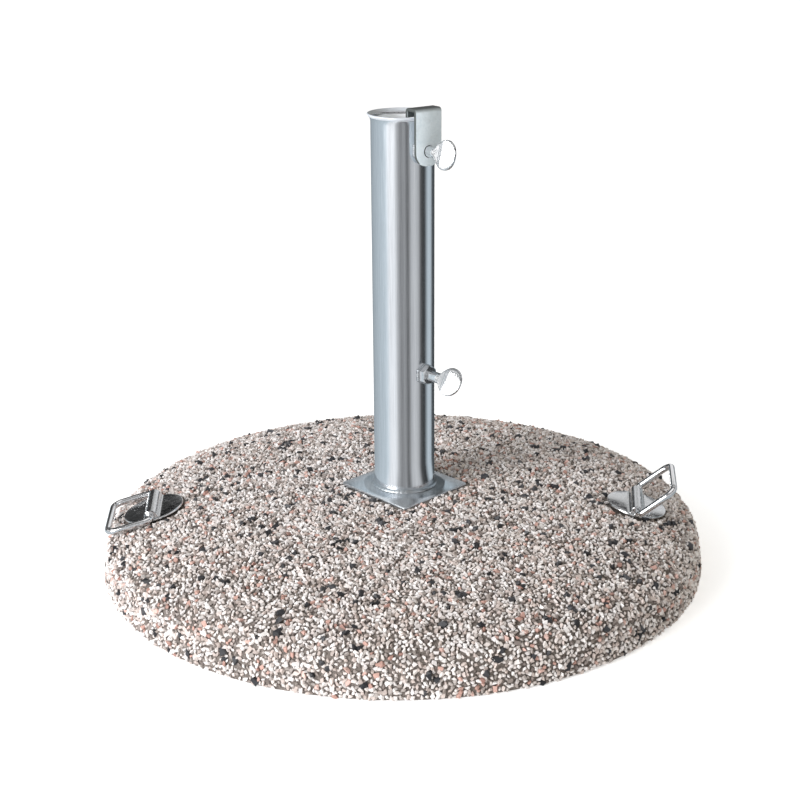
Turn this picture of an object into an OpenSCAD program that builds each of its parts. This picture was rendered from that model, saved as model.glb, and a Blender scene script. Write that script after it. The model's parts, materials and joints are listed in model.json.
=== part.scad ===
// Parasol base: a round exposed-aggregate concrete weight that carries a steel stand tube.
// A strap bracket hooked over the rim and two thumb screws clamp the pole in the tube.
// Two lift rings fold on plates set in the dome.
// +Z is up, the origin is the centre of the underside, and every size is in millimetres.

/* [Concrete weight] */
// Radius of the weight on the ground
ground_r = 302; // [298:1:306]
// Radius of the belly, where the drafted side meets the dome
belly_r = 297; // [292:1:298]
// Height of the belly
belly_z = 33; // [30:1:36]
// Height of the dome's crown
crown_z = 75.5; // [75:0.25:76.5]
// Fullness of the dome towards the belly
dome_fullness = 2.6; // [2.4:0.1:2.8]
// Sharpness of the shoulder
shoulder_sharpness = 1.9; // [1.8:0.1:2]
// Radius of the rounded foot edge
foot_edge_r = 3; // [2:0.5:5]

/* [Reinforcement] */
// Radius of the cast-in hoop, to the middle of its rod
hoop_r = 200; // [190:1:203]
// Diameter of the hoop and of the cross bars
rebar_d = 8; // [6:1:8]
// Height of the hoop
hoop_z = 18; // [16:1:20]

/* [Foot plate] */
// Side of the square foot plate
plate_w = 90; // [86:1:96]
// Thickness of the foot plate
plate_t = 4; // [3.5:0.5:5]
// Height of the foot plate's top face
plate_top_z = 78; // [78:0.5:79]
// Radius of the plate's corners
plate_corner_r = 3; // [2:0.5:5]

/* [Stand tube] */
// Outer diameter of the tube
tube_d = 60.3; // [60:0.1:60.5]
// Wall of the tube
tube_wall = 2; // [1.5:0.1:2]
// Height of the rim
rim_z = 449; // [440:1:460]
// Bend radius of the flared rim
flare_r = 8; // [6:0.5:9]
// Angle that the rim flares through
flare_angle = 52; // [40:1:55]
// Diameter of the drain hole
drain_d = 5; // [4:0.5:5]

/* [Weld nuts and thumb screws] */
// Direction of the upper screw and the bracket, seen from above
screw_az = -53; // [-70:1:-40]
// Direction of the lower screw, seen from above
low_screw_az = -47; // [-70:1:-40]
// Height of the lower screw
low_screw_z = 199.5; // [180:0.5:230]
// Height of the upper screw
top_screw_z = 418.5; // [416:0.5:420]
// Nominal thread diameter
thread_d = 10; // [8:1:10]
// Width across the flats of the weld nuts
nut_flats = 17; // [16:1:18]
// Distance from the tube's axis to the nuts' outer faces
nut_face = 37.2; // [36.5:0.1:37.2]
// Length of the lower screw's thread
low_thread_len = 17; // [14:0.5:17]
// Length of the upper screw's thread, which bears on the bracket's tongue
top_thread_len = 9.5; // [8:0.5:9.5]
// Diameter of the round neck behind the spade
neck_d = 10.5; // [10.2:0.1:11]
// Length of the round neck
neck_len = 11; // [10:0.5:16]
// Diameter of the spade disc
spade_d = 28; // [26:0.5:31]
// Thickness of the spade disc
spade_t = 4; // [3.6:0.2:5]
// Turn of the lower spade from upright, anticlockwise seen from outside
low_spade_turn = -30; // [-180:1:180]
// Turn of the upper spade from upright, anticlockwise seen from outside
top_spade_turn = -12; // [-180:1:180]

/* [Bracket] */
// Width of the flat strap
strap_w = 30; // [28:1:31]
// Thickness of the strap
strap_t = 3; // [2.5:0.1:3]
// Distance from the tube's axis to the tongue's inner face
tongue_face = 24.5; // [24:0.1:24.5]
// Width of the tongue that hangs inside the tube
tongue_w = 11; // [9:0.5:11]
// Height of the bracket's top
strap_top_z = 458; // [457:1:462]
// Height of the bracket's lower end
strap_end_z = 405; // [403:1:406]

/* [Lift rings and their plates] */
// Direction of the right handle, seen from above
right_az = -7; // [-12:1:0]
// Distance of the right handle from the tube's axis
right_r = 234; // [232:1:240]
// Angle of the right ring above its plate
right_ring_angle = 50; // [0:1:90]
// Direction of the left handle, seen from above
left_az = 184.5; // [180:0.5:190]
// Distance of the left handle from the tube's axis
left_r = 251; // [245:1:252]
// Angle of the left ring above its plate, slightly below it as it lies on the shoulder
left_ring_angle = -2; // [-2:1:90]
// Diameter of the round plates
handle_plate_d = 60; // [58:1:62]
// Thickness of the round plates
handle_plate_t = 2.5; // [2:0.1:3]
// Length of the plate's raised saddle
saddle_len = 56; // [54:1:56]
// Outer radius of the raised saddle
saddle_r = 6.6; // [6.2:0.1:7]
// Diameter of the rings' rod
ring_rod_d = 6.5; // [6:0.1:6.5]
// Distance from the pivot to the ring's end bar
ring_reach = 44; // [42:1:46]
// Half width of the ring, to the middle of its legs
ring_half = 36; // [36:0.5:38]

/* [Hidden] */

$fn = 96;
eps = 1;                                   // overshoot of cutting solids
tube_r = tube_d / 2;
bore_r = tube_r - tube_wall;
rod_r = ring_rod_d / 2;
bar_r = rebar_d / 2;
layer_gap = 0.2;                           // air between crossing rods
running_gap = 0.1;                         // radial play of rods and threads in their holes
plate_low_z = plate_top_z - plate_t;
flare_z = rim_z - (flare_r + tube_wall) * sin(flare_angle);
foot_weld_leg = 3.5;
drain_az = -15;
drain_z = plate_top_z + foot_weld_leg + drain_d / 2 + 1;
nut_corner_r = nut_flats / sqrt(3);
nut_seat = tube_r + 0.4;                   // inner face of a nut, just off the tube
neck_seat = nut_face + 0.3;                // inner end of a screw's neck
stud_r = thread_d / 2 - running_gap;
stud_tip_chamfer = 1.5;
neck_hole_r = neck_d / 2 + 0.5;
wall_hole_r = thread_d / 2 + 0.6;
outer_leg_in = nut_face + 0.1;             // inner face of the bracket's outer leg
outer_leg_out = outer_leg_in + strap_t;
strap_end_r = 13;
strap_bend_r = 3.6;
shoulder_z = rim_z + 0.2;                  // the strap's shoulders stand on the rim
handle_bed = 0.5;                          // depth that the round plates are set in
pivot_h = 4.4;                             // ring pivot above the underside of its plate
ring_pivot_bend = 7;                       // bend beside the saddle
ring_end_bend = 10;
anchor_r = 4;
anchor_bend_r = 8;

// Height of the dome at a distance r from the axis
function dome_z(r) = belly_z + (crown_z - belly_z)
    * pow(1 - pow(r / belly_r, dome_fullness), 1 / shoulder_sharpness);
// Fall of the dome outwards at a distance r, in degrees
function dome_fall(r) = atan((dome_z(r - 1) - dome_z(r + 1)) / 2);

// Places its children on the axis of a screw: +Z outwards, +X down
module on_screw(z) {
    az = z == low_screw_z ? low_screw_az : screw_az;
    translate([0, 0, z]) rotate([0, 0, az]) rotate([0, 90, 0]) children();
}

// Places its children on the dome: +X down the fall line, +Z out of the surface
module on_dome(az, r) {
    rotate([0, 0, az]) translate([r, 0, dome_z(r) - handle_bed])
        rotate([0, dome_fall(r), 0]) children();
}

module rounded_square(w, r) {
    square([w - 2 * r, w], center = true);
    square([w, w - 2 * r], center = true);
    for (x = [-1, 1], y = [-1, 1])
        translate([x * (w / 2 - r), y * (w / 2 - r)]) circle(r, $fn = 32);
}

// A rod that drops from the origin and turns into a foot along +X
module hooked_rod(drop, foot) {
    translate([0, 0, -drop + anchor_bend_r]) cylinder(h = drop - anchor_bend_r, r = anchor_r, $fn = 32);
    translate([anchor_bend_r, 0, -drop + anchor_bend_r]) rotate([90, 0, 0])
        rotate([0, 0, 180]) rotate_extrude(angle = 90, $fn = 64)
            translate([anchor_bend_r, 0]) circle(anchor_r, $fn = 32);
    translate([anchor_bend_r, 0, -drop]) rotate([0, 90, 0]) cylinder(h = foot, r = anchor_r, $fn = 32);
}

// A quarter bend of rod in the XY plane, from the end of a run along +X round to a run along +Y
module quarter_bend(bend_r, r) {
    translate([0, bend_r, 0]) rotate([0, 0, -90])
        rotate_extrude(angle = 90, $fn = 64) translate([bend_r, 0]) circle(r, $fn = 32);
}

// Rectangular loop of rod in the XY plane, from x = 0 to x = reach and half_w to either side
module rod_loop(reach, half_w, near_bend, far_bend, r) {
    for (side = [-1, 1]) {
        bend = side < 0 ? near_bend : far_bend;
        translate([near_bend, side * half_w, 0]) rotate([0, 90, 0])
            cylinder(h = reach - near_bend - far_bend, r = r, $fn = 32);
        translate([side < 0 ? 0 : reach, half_w - bend, 0]) rotate([90, 0, 0])
            cylinder(h = 2 * (half_w - bend), r = r, $fn = 32);
    }
    translate([reach - far_bend, -half_w, 0]) quarter_bend(far_bend, r);
    translate([reach, half_w - far_bend, 0]) rotate([0, 0, 90]) quarter_bend(far_bend, r);
    translate([near_bend, half_w, 0]) rotate([0, 0, 180]) quarter_bend(near_bend, r);
    translate([0, -half_w + near_bend, 0]) rotate([0, 0, 270]) quarter_bend(near_bend, r);
}

module foot_plate() {
    color("lightsteelblue") translate([0, 0, plate_low_z]) rotate([0, 0, 45])
        linear_extrude(plate_t) rounded_square(plate_w, plate_corner_r);
}

// Four hooked rods welded under the foot plate
module foot_anchors() {
    color("dimgray") for (az = [45 : 90 : 315])
        rotate([0, 0, az]) translate([34, 0, plate_low_z]) hooked_rod(40, 25);
}

module reinforcement_hoop() {
    color("dimgray") translate([0, 0, hoop_z]) rotate_extrude()
        translate([hoop_r, 0]) circle(bar_r, $fn = 32);
}

// Two crossed bars that lie on the hoop
module reinforcement_bars() {
    color("dimgray") for (i = [0, 1])
        translate([0, 0, hoop_z + (i + 1) * (rebar_d + layer_gap)]) rotate([0, 0, 90 * i])
            rotate([0, 90, 0]) cylinder(h = 2 * hoop_r, r = bar_r, center = true, $fn = 32);
}

module handle_anchors(az, r) {
    color("dimgray") on_dome(az, r) for (x = [-1, 1])
        translate([18 * x, 0, 0]) rotate([0, 0, 90 * x]) hooked_rod(28, 16);
}

// Outline of half the weight: underside, rounded foot edge, drafted side, dome
module weight_outline() {
    edge = [for (a = [-90 : 15 : 0])
        [ground_r - foot_edge_r + foot_edge_r * cos(a), foot_edge_r + foot_edge_r * sin(a)]];
    dome = [for (a = [90 : -4.5 : 0]) [belly_r * sin(a), dome_z(belly_r * sin(a))]];
    polygon(concat([[0, 0]], edge, dome));
}

// The washed-concrete casting, with the plates let in and the steel cast in
module concrete_weight() {
    color("rosybrown") difference() {
        rotate_extrude($fn = 128) weight_outline();
        foot_plate();
        foot_anchors();
        reinforcement_hoop();
        reinforcement_bars();
        on_dome(right_az, right_r) cylinder(h = 20, d = handle_plate_d);
        on_dome(left_az, left_r) cylinder(h = 20, d = handle_plate_d);
        handle_anchors(right_az, right_r);
        handle_anchors(left_az, left_r);
    }
}

// Half section of the tube wall, with the trumpet rim
module tube_section() {
    steps = [0 : flare_angle / 6 : flare_angle + 0.01];
    outer = [for (a = steps) [tube_r + flare_r * (1 - cos(a)), flare_z + flare_r * sin(a)]];
    inner_r = flare_r + tube_wall;
    inner = [for (a = steps) [bore_r + inner_r * (1 - cos(a)), flare_z + inner_r * sin(a)]];
    inner_down = [for (i = [len(inner) - 1 : -1 : 0]) inner[i]];
    polygon(concat([[bore_r, plate_top_z], [tube_r, plate_top_z]], outer, inner_down));
}

module stand_tube() {
    color("silver") difference() {
        rotate_extrude() tube_section();
        for (z = [low_screw_z, top_screw_z])
            on_screw(z) translate([0, 0, bore_r - 4]) cylinder(h = 10, r = wall_hole_r, $fn = 48);
        translate([0, 0, drain_z]) rotate([0, 0, drain_az]) rotate([0, 90, 0])
            translate([0, 0, bore_r - 4]) cylinder(h = 10, d = drain_d, $fn = 32);
    }
}

// Fillet weld round the tube's foot
module foot_weld() {
    color("gray") rotate_extrude() polygon([[tube_r, plate_top_z], [tube_r + foot_weld_leg, plate_top_z],
        [tube_r + foot_weld_leg * 0.4, plate_top_z + foot_weld_leg * 0.4],
        [tube_r, plate_top_z + foot_weld_leg]]);
}

module weld_nut(z) {
    color("silver") on_screw(z) translate([0, 0, nut_seat]) difference() {
        cylinder(h = nut_face - nut_seat, r = nut_corner_r, $fn = 6);
        translate([0, 0, -eps]) cylinder(h = nut_face, r = thread_d / 2, $fn = 48);
    }
}

// Weld that fills the gap between each flat nut and the round tube
module nut_welds() {
    color("gray") difference() {
        for (z = [low_screw_z, top_screw_z])
            on_screw(z) translate([0, 0, bore_r])
                cylinder(h = nut_seat - bore_r, r = nut_corner_r, $fn = 48);
        translate([0, 0, top_screw_z - 300]) cylinder(h = 340, r = tube_r);
        for (z = [low_screw_z, top_screw_z])
            on_screw(z) cylinder(h = nut_face, r = wall_hole_r, $fn = 48);
    }
}

// Section of the bent strap: an upside-down U
module strap_section() {
    difference() {
        union() {
            translate([tongue_face, strap_end_z])
                square([outer_leg_out - tongue_face, strap_top_z - strap_bend_r - strap_end_z]);
            translate([tongue_face + strap_bend_r, strap_end_z])
                square([outer_leg_out - tongue_face - 2 * strap_bend_r, strap_top_z - strap_end_z]);
            for (x = [tongue_face + strap_bend_r, outer_leg_out - strap_bend_r])
                translate([x, strap_top_z - strap_bend_r]) circle(strap_bend_r, $fn = 48);
        }
        translate([tongue_face + strap_t, strap_end_z - eps])
            square([outer_leg_in - tongue_face - strap_t, strap_top_z - strap_t - strap_end_z + eps]);
    }
}

// Outline of the outer leg seen square on, round at its lower end
module outer_leg_outline() {
    corner_z = strap_end_z + strap_end_r;
    translate([-strap_w / 2, corner_z]) square([strap_w, strap_top_z - corner_z + eps]);
    translate([-strap_w / 2 + strap_end_r, strap_end_z]) square([strap_w - 2 * strap_end_r, strap_end_r + eps]);
    for (y = [-1, 1]) translate([y * (strap_w / 2 - strap_end_r), corner_z]) circle(strap_end_r);
}

// Strap hooked over the rim: outer leg under the screw's neck, narrow tongue inside the tube
module clamp_bracket() {
    mid = (tongue_face + outer_leg_in) / 2;
    color("lightgray") rotate([0, 0, screw_az]) difference() {
        intersection() {
            rotate([90, 0, 0]) linear_extrude(strap_w, center = true) strap_section();
            union() {
                translate([mid, 0, 0]) rotate([90, 0, 90]) linear_extrude(30) outer_leg_outline();
                translate([0, -strap_w / 2 - eps, shoulder_z]) cube([mid, strap_w + 2 * eps, 20]);
                translate([0, -tongue_w / 2, 300]) cube([mid, tongue_w, 200]);
            }
        }
        translate([outer_leg_in - eps, 0, top_screw_z]) rotate([0, 90, 0])
            cylinder(h = strap_t + 2 * eps, r = neck_hole_r, $fn = 48);
    }
}

// Threaded shank of a thumb screw, from its tip to the neck
module screw_stud(z, thread_len) {
    color("gainsboro") on_screw(z) translate([0, 0, neck_seat - thread_len]) {
        cylinder(h = stud_tip_chamfer, r1 = stud_r - stud_tip_chamfer, r2 = stud_r, $fn = 48);
        translate([0, 0, stud_tip_chamfer])
            cylinder(h = thread_len - stud_tip_chamfer, r = stud_r, $fn = 48);
    }
}

// Round neck and flat spade of a thumb screw
module screw_head(z, spade_turn) {
    taper = 5;
    rim = 1.2;
    spade_x = neck_seat + neck_len + spade_d / 2 + 2.5;
    color("gainsboro") on_screw(z) rotate([0, 0, spade_turn]) {
        translate([0, 0, neck_seat]) cylinder(h = neck_len, d = neck_d, $fn = 48);
        translate([0, 0, neck_seat + neck_len])
            cylinder(h = taper, r1 = neck_d / 2, r2 = spade_t / 2, $fn = 48);
        translate([0, 0, spade_x]) rotate([90, 0, 0]) rotate_extrude()
            polygon([[0, -spade_t / 2], [spade_d / 2 - rim, -spade_t / 2], [spade_d / 2, -spade_t / 2 + rim],
                [spade_d / 2, spade_t / 2 - rim], [spade_d / 2 - rim, spade_t / 2], [0, spade_t / 2]]);
        translate([0, 0, neck_seat + neck_len]) rotate([90, 0, 0])
            linear_extrude(spade_t - 1, center = true)
            polygon([[-neck_d / 2 + 0.3, -2], [neck_d / 2 - 0.3, -2], [10, 8], [-10, 8]]);
    }
}

// Round pressed plate with a raised saddle that holds the ring's pivot bar
module handle_plate(az, r) {
    color("lightgray") on_dome(az, r) difference() {
        union() {
            cylinder(h = handle_plate_t, d = handle_plate_d);
            intersection() {
                translate([0, saddle_len / 2, pivot_h]) rotate([90, 0, 0])
                    cylinder(h = saddle_len, r = saddle_r);
                translate([-20, -saddle_len / 2 - eps, 0]) cube([40, saddle_len + 2 * eps, 20]);
            }
        }
        translate([0, saddle_len, pivot_h]) rotate([90, 0, 0])
            cylinder(h = 2 * saddle_len, r = rod_r + running_gap, $fn = 48);
    }
}

// Ring of bent rod: pivot bar, two legs and an end bar
module lift_ring(az, r, ring_angle) {
    color("silver") on_dome(az, r) translate([0, 0, pivot_h]) rotate([0, -ring_angle, 0])
        rod_loop(ring_reach, ring_half, ring_pivot_bend, ring_end_bend, rod_r);
}

concrete_weight();
reinforcement_hoop();
reinforcement_bars();
foot_plate();
foot_anchors();
stand_tube();
foot_weld();
weld_nut(low_screw_z);  // lower_weld_nut
weld_nut(top_screw_z);  // upper_weld_nut
nut_welds();
clamp_bracket();
screw_stud(low_screw_z, low_thread_len);  // lower_screw_stud
screw_head(low_screw_z, low_spade_turn);  // lower_screw_head
screw_stud(top_screw_z, top_thread_len);  // upper_screw_stud
screw_head(top_screw_z, top_spade_turn);  // upper_screw_head
handle_plate(left_az, left_r);  // left_handle_plate
handle_plate(right_az, right_r);  // right_handle_plate
handle_anchors(left_az, left_r);  // left_handle_anchors
handle_anchors(right_az, right_r);  // right_handle_anchors
lift_ring(left_az, left_r, left_ring_angle);  // left_lift_ring
lift_ring(right_az, right_r, right_ring_angle);  // right_lift_ring
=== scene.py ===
import json
import math
import random

import bmesh
import bpy
import numpy as np
from mathutils import Matrix, Vector, noise

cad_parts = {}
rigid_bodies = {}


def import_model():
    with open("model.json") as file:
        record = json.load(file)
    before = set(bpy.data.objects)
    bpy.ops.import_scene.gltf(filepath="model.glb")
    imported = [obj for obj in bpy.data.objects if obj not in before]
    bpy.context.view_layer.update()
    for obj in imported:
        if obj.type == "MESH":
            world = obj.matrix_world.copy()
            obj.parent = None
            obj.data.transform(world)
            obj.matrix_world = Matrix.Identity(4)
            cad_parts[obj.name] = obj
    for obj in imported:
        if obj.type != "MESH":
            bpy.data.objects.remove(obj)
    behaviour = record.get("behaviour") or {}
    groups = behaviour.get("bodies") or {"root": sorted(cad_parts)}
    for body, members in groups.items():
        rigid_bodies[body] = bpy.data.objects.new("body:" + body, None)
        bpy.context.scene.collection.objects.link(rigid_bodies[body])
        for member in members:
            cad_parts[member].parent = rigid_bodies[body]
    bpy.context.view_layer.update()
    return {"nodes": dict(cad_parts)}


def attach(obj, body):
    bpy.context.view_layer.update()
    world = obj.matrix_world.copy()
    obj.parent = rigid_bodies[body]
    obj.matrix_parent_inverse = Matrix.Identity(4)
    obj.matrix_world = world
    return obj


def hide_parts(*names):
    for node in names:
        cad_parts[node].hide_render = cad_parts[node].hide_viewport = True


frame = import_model()
scene = bpy.context.scene
print("frame loaded")


# Meshes are built in millimetres and brought to metres in finishPiece.

def addObject(name, points, faces, place=None):
    mesh = bpy.data.meshes.new(name)
    mesh.from_pydata([tuple(p) for p in points], [], faces)
    if place:
        mesh.transform(place)
    work = bmesh.new()
    work.from_mesh(mesh)
    bmesh.ops.remove_doubles(work, verts=work.verts, dist=0.002)
    bmesh.ops.recalc_face_normals(work, faces=work.faces)
    work.to_mesh(mesh)
    work.free()
    piece = bpy.data.objects.new(name, mesh)
    scene.collection.objects.link(piece)
    return piece


def loft(rings, closed=False):
    # skin through rings with the same number of points, capped unless it closes on itself
    count = len(rings[0])
    points = [p for ring in rings for p in ring]
    faces = []
    for i in range(len(rings) if closed else len(rings) - 1):
        a = i * count
        b = (i + 1) % len(rings) * count
        for j in range(count):
            k = (j + 1) % count
            faces.append((a + j, a + k, b + k, b + j))
    if not closed:
        last = (len(rings) - 1) * count
        faces.append(tuple(range(count)))
        faces.append(tuple(range(last, last + count)))
    return points, faces


def spin(outline, steps):
    # closed (radius, height) outline turned about Z
    rings = []
    for i in range(steps):
        a = 2 * math.pi * i / steps
        rings.append([(r * math.cos(a), r * math.sin(a), z) for r, z in outline])
    return loft(rings, closed=True)


def arc(x, y, r, start, end, steps):
    angles = [math.radians(start + (end - start) * i / steps) for i in range(steps + 1)]
    return [(x + r * math.cos(a), y + r * math.sin(a)) for a in angles]


def rod(radius, length, place, start=0):
    rings = []
    for z in (start, start + length):
        rings.append([(x, y, z) for x, y in arc(0, 0, radius, 0, 352.5, 47)])
    return addObject("cutter", *loft(rings), place)


def bake(piece):
    bpy.context.view_layer.update()
    graph = bpy.context.evaluated_depsgraph_get()
    result = bpy.data.meshes.new_from_object(piece.evaluated_get(graph))
    piece.modifiers.clear()
    piece.data = result


def combine(piece, other, operation):
    modifier = piece.modifiers.new("combine", "BOOLEAN")
    modifier.operation = operation
    modifier.object = other
    modifier.solver = "EXACT"
    bake(piece)
    bpy.data.objects.remove(other)


def finishPiece(piece, name, material, body="root", node=None, sharpAngle=35):
    piece.name = name
    mesh = piece.data
    mesh.transform(Matrix.Scale(0.001, 4))
    mesh.materials.clear()
    mesh.materials.append(material)
    mesh.shade_smooth()
    mesh.set_sharp_from_angle(angle=math.radians(sharpAngle))
    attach(piece, body)
    if node:
        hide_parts(node)


# Shader helpers

def newMaterial(name):
    material = bpy.data.materials.new(name)
    material.use_nodes = True
    return material, material.node_tree, material.node_tree.nodes["Principled BSDF"]


def addNode(tree, kind, links=None, **settings):
    node = tree.nodes.new(kind)
    for key, value in settings.items():
        setattr(node, key, value)
    for socket, value in (links or {}).items():
        if isinstance(value, bpy.types.NodeSocket):
            tree.links.new(value, node.inputs[socket])
        else:
            node.inputs[socket].default_value = value
    return node


def newGroup(name, inputs, outputs):
    group = bpy.data.node_groups.new(name, "ShaderNodeTree")
    for label, kind, value in inputs:
        socket = group.interface.new_socket(name=label, in_out="INPUT", socket_type=kind)
        if value is not None:
            socket.default_value = value
    for label, kind in outputs:
        group.interface.new_socket(name=label, in_out="OUTPUT", socket_type=kind)
    return group, group.nodes.new("NodeGroupInput"), group.nodes.new("NodeGroupOutput")


def objectCoords(tree, scale=(1, 1, 1)):
    coords = addNode(tree, "ShaderNodeTexCoord")
    mapping = addNode(tree, "ShaderNodeMapping", {"Vector": coords.outputs["Object"], "Scale": scale})
    return mapping.outputs["Vector"]


def ramp(tree, factor, stops):
    node = addNode(tree, "ShaderNodeValToRGB", {"Fac": factor})
    elements = node.color_ramp.elements
    for i, (position, color) in enumerate(stops):
        element = elements[i] if i < 2 else elements.new(position)
        element.position = position
        element.color = (*color, 1)
    return node.outputs["Color"]


def remap(tree, value, low, high, toLow, toHigh):
    settings = {"Value": value, "From Min": low, "From Max": high, "To Min": toLow, "To Max": toHigh}
    return addNode(tree, "ShaderNodeMapRange", settings).outputs["Result"]


def mixColor(tree, factor, a, b, blend="MIX"):
    node = addNode(tree, "ShaderNodeMix", data_type="RGBA", blend_type=blend)
    for index, value in ((0, factor), (6, a), (7, b)):
        if isinstance(value, bpy.types.NodeSocket):
            tree.links.new(value, node.inputs[index])
        else:
            node.inputs[index].default_value = value if index == 0 else (*value, 1)
    return node.outputs[2]


def calc(tree, operation, *values):
    return addNode(tree, "ShaderNodeMath", dict(enumerate(values)), operation=operation).outputs[0]


def vectorCalc(tree, operation, *values):
    return addNode(tree, "ShaderNodeVectorMath", dict(enumerate(values)), operation=operation)


def mixValue(tree, factor, a, b):
    return addNode(tree, "ShaderNodeMix", {0: factor, 2: a, 3: b}).outputs[0]


def clouds(tree, coords, scale, detail, roughness=0.5):
    values = {"Vector": coords, "Scale": scale, "Detail": detail, "Roughness": roughness}
    return addNode(tree, "ShaderNodeTexNoise", values).outputs["Fac"]


# wear on convex edges, broken up by noise
edgeGroup, groupIn, groupOut = newGroup(
    "edgeWear",
    [("Vector", "NodeSocketVector", None), ("Amount", "NodeSocketFloat", 0.5)],
    [("Mask", "NodeSocketFloat")],
)
geometry = addNode(edgeGroup, "ShaderNodeNewGeometry")
edge = remap(edgeGroup, geometry.outputs["Pointiness"], 0.52, 0.6, 0, 1)
worn = calc(edgeGroup, "MULTIPLY", edge, clouds(edgeGroup, groupIn.outputs["Vector"], 180, 4))
scaled = calc(edgeGroup, "MULTIPLY", worn, groupIn.outputs["Amount"])
edgeGroup.links.new(scaled, groupOut.inputs["Mask"])

# two sizes of grain as one value
grainGroup, groupIn, groupOut = newGroup(
    "fineGrain",
    [("Vector", "NodeSocketVector", None), ("Scale", "NodeSocketFloat", 400)],
    [("Value", "NodeSocketFloat")],
)
coarse = clouds(grainGroup, groupIn.outputs["Vector"], groupIn.outputs["Scale"], 5, 0.6)
finer = calc(grainGroup, "MULTIPLY", groupIn.outputs["Scale"], 4.3)
fine = clouds(grainGroup, groupIn.outputs["Vector"], finer, 2)
grainGroup.links.new(mixValue(grainGroup, 0.35, coarse, fine), groupOut.inputs["Value"])

# dust that gathers on what faces up
dustGroup, groupIn, groupOut = newGroup(
    "settledDust",
    [("Vector", "NodeSocketVector", None), ("Amount", "NodeSocketFloat", 0.3)],
    [("Mask", "NodeSocketFloat")],
)
geometry = addNode(dustGroup, "ShaderNodeNewGeometry")
axes = addNode(dustGroup, "ShaderNodeSeparateXYZ", {0: geometry.outputs["Normal"]})
upward = remap(dustGroup, axes.outputs["Z"], 0.3, 1, 0, 1)
patchy = remap(dustGroup, clouds(dustGroup, groupIn.outputs["Vector"], 45, 6), 0.35, 0.7, 0, 1)
dusty = calc(dustGroup, "MULTIPLY", upward, patchy)
scaled = calc(dustGroup, "MULTIPLY", dusty, groupIn.outputs["Amount"])
dustGroup.links.new(scaled, groupOut.inputs["Mask"])


def useGroup(tree, group, **links):
    node = addNode(tree, "ShaderNodeGroup", node_tree=group)
    for socket, value in links.items():
        if isinstance(value, bpy.types.NodeSocket):
            tree.links.new(value, node.inputs[socket])
        else:
            node.inputs[socket].default_value = value
    return node.outputs[0]


def addBump(tree, shader, height, strength, distance):
    bump = addNode(tree, "ShaderNodeBump", {"Height": height, "Strength": strength, "Distance": distance})
    tree.links.new(bump.outputs["Normal"], shader.inputs["Normal"])


dustColor = (0.42, 0.38, 0.33)


# A metal with grain, a stained tone, worn edges and a little dust
def metalMaterial(name, look, mouth=None, ridgeShade=None):
    material, tree, shader = newMaterial(name)
    coords = objectCoords(tree, look["stretch"])
    plain = objectCoords(tree)
    grain = useGroup(tree, grainGroup, Vector=coords, Scale=look["grainScale"])
    tone = ramp(tree, remap(tree, grain, 0.3, 0.7, 0, 1), [(0, look["dark"]), (1, look["light"])])
    stained = remap(tree, clouds(tree, plain, look["stainScale"], 6), 0.5, 0.75, 0, look["stains"])
    tone = mixColor(tree, stained, tone, look["stainColor"])
    worn = useGroup(tree, edgeGroup, Vector=plain, Amount=look["wear"])
    tone = mixColor(tree, worn, tone, look["wornColor"])
    if ridgeShade:
        # painted shade: dark in the grooves across a direction, where the grip ridges are
        along = vectorCalc(tree, "DOT_PRODUCT", plain, ridgeShade["direction"]).outputs["Value"]
        step = 2 * math.pi / ridgeShade["pitch"]
        turn = calc(tree, "MULTIPLY_ADD", along, step, -ridgeShade["centre"] * step)
        groove = remap(tree, calc(tree, "COSINE", turn), 0.3, -1, 0, ridgeShade["depth"])
        started = remap(tree, along, ridgeShade["start"], ridgeShade["start"] + 0.002, 0, 1)
        tone = mixColor(tree, calc(tree, "MULTIPLY", groove, started), tone, ridgeShade["color"])
    dust = useGroup(tree, dustGroup, Vector=plain, Amount=look["dust"])
    tone = mixColor(tree, dust, tone, dustColor)
    tree.links.new(tone, shader.inputs["Base Color"])
    rough = remap(tree, grain, 0.25, 0.75, look["roughLow"], look["roughHigh"])
    rough = mixValue(tree, dust, rough, 0.8)
    clean = remap(tree, dust, 0, 1, 1, 0)
    if mouth:
        # unpolished above a height and inside a radius; inside the radius the colour is also made near white,
        # painted light for the shaded bore
        axes = addNode(tree, "ShaderNodeSeparateXYZ", {0: plain})
        above = remap(tree, axes.outputs["Z"], mouth["height"] - 0.001, mouth["height"], 0, 1)
        flat = vectorCalc(tree, "MULTIPLY", plain, (1, 1, 0)).outputs[0]
        radius = vectorCalc(tree, "LENGTH", flat).outputs["Value"]
        within = remap(tree, radius, mouth["radius"], mouth["radius"] + 0.0002, 1, 0)
        raw = calc(tree, "MAXIMUM", above, within)
        tone = mixColor(tree, above, tone, mouth["lipColor"])
        tone = mixColor(tree, within, tone, mouth["color"])
        tree.links.new(tone, shader.inputs["Base Color"])
        rough = mixValue(tree, raw, rough, mouth["roughness"])
        clean = remap(tree, raw, 0, 1, clean, mouth["metallic"])
    tree.links.new(rough, shader.inputs["Roughness"])
    tree.links.new(clean, shader.inputs["Metallic"])
    addBump(tree, shader, grain, look["bump"], look["bumpDepth"])
    return material


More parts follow.
